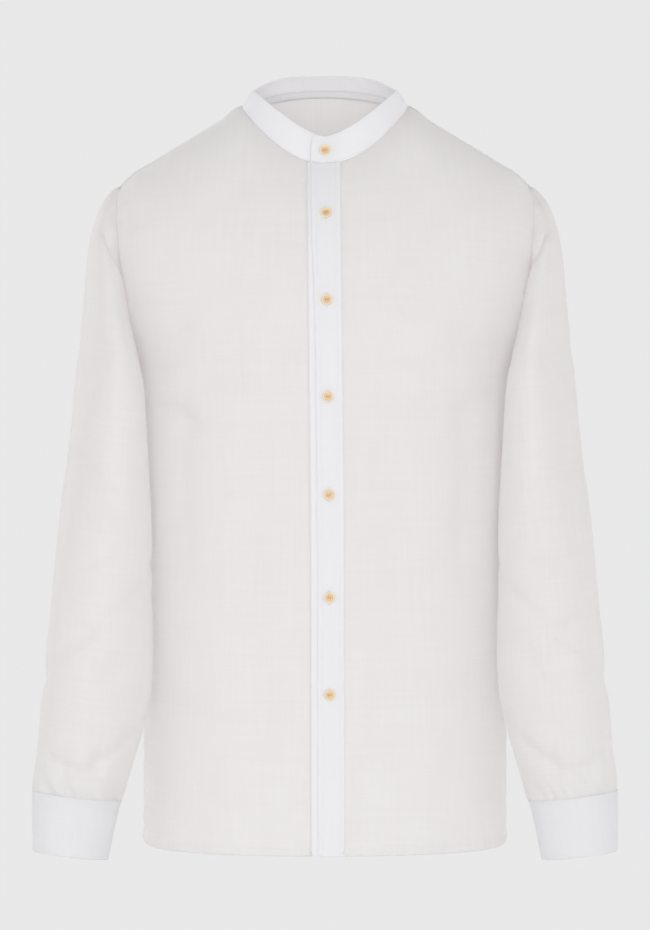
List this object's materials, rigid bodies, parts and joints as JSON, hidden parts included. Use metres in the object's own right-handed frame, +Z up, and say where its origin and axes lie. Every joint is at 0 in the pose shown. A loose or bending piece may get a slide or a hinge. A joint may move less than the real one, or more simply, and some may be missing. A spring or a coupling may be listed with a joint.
{
  "type": "mandarin collar shirt",
  "caption": "Long-sleeved linen shirt with a band collar, button-through front placket and buttoned cuffs, hollow and filled out as if worn.",
  "frame": {"origin": "midway between the two points where the shoulder seams meet the neck seam, where the wearer's shoulders hold the shirt", "axes": "+Z up, +X towards the wearer's left, -Y towards the front, +Y towards the back"},
  "size_m": [0.5876, 0.2743, 0.802],
  "materials": {
    "linen": "plain-woven slubby linen, one layer, slightly see-through",
    "linen_doubled": "the same linen in two or more layers, whiter and opaque",
    "button": "tan, wood-like, satin, four holes"
  },
  "bodies": {
    "root": {"front_left": "linen", "front_right": "linen", "back": "linen", "sleeve_left": "linen", "sleeve_right": "linen", "placket": "linen_doubled", "button_stand": "linen_doubled", "collar_band": "linen_doubled", "neck_tape": "linen_doubled", "sleeve_placket_left": "linen_doubled", "sleeve_placket_right": "linen_doubled", "cuff_left": "linen_doubled", "cuff_right": "linen_doubled", "button_1": "button", "button_2": "button", "button_3": "button", "button_4": "button", "button_5": "button", "button_6": "button", "button_7": "button", "cuff_button_left": "button", "cuff_button_right": "button"}
  },
  "joints": []
}
